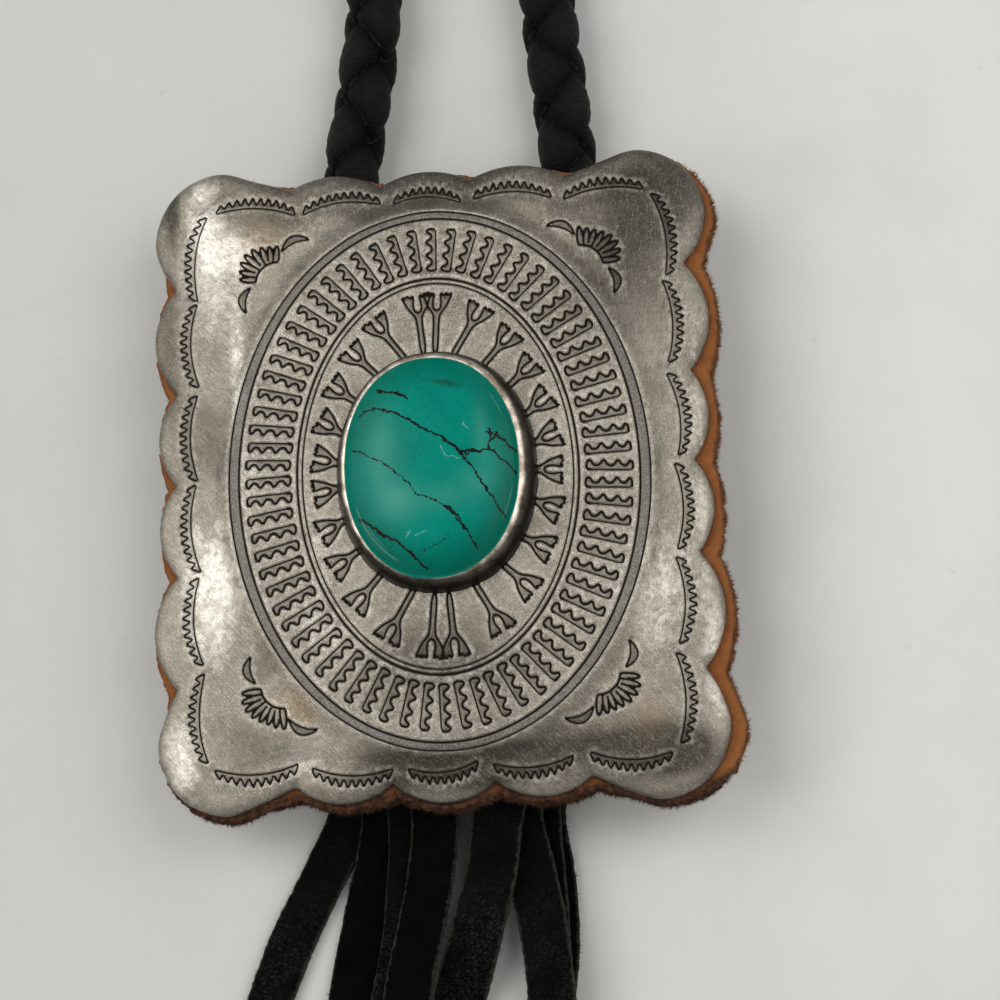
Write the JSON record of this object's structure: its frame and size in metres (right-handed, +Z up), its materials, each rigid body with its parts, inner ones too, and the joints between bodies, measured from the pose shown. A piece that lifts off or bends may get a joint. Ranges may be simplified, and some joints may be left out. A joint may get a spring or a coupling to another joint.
{
  "type": "bolo tie",
  "caption": "Bolo tie: scalloped, stamped metal slide with an oval stone on a leather backing, on a braided leather cord loop that ends in a leather fringe.",
  "frame": {"origin": "middle of the keeper's flat underside, on the surface that the tie lies on", "axes": "+Z up through the stone, +Y towards the neck loop, +X to the right seen from the front"},
  "size_m": [0.0896, 0.4118, 0.0237],
  "materials": {
    "plate_metal": "aged nickel-silver tone, brushed, stamped lines oxidised black",
    "stone": "polished teal stone with dark veins",
    "backing_leather": "tan leather with a raw fuzzy edge",
    "black_leather": "matte black leather, raw brown-grey edges"
  },
  "bodies": {
    "root": {"plate": "plate_metal", "stone": "stone", "leather_backing": "backing_leather", "back_keeper": "black_leather", "braided_cord": "black_leather", "fringe_1": "black_leather", "fringe_2": "black_leather", "fringe_3": "black_leather", "fringe_4": "black_leather", "fringe_5": "black_leather", "fringe_6": "black_leather", "fringe_7": "black_leather", "fringe_8": "black_leather"}
  },
  "joints": []
}
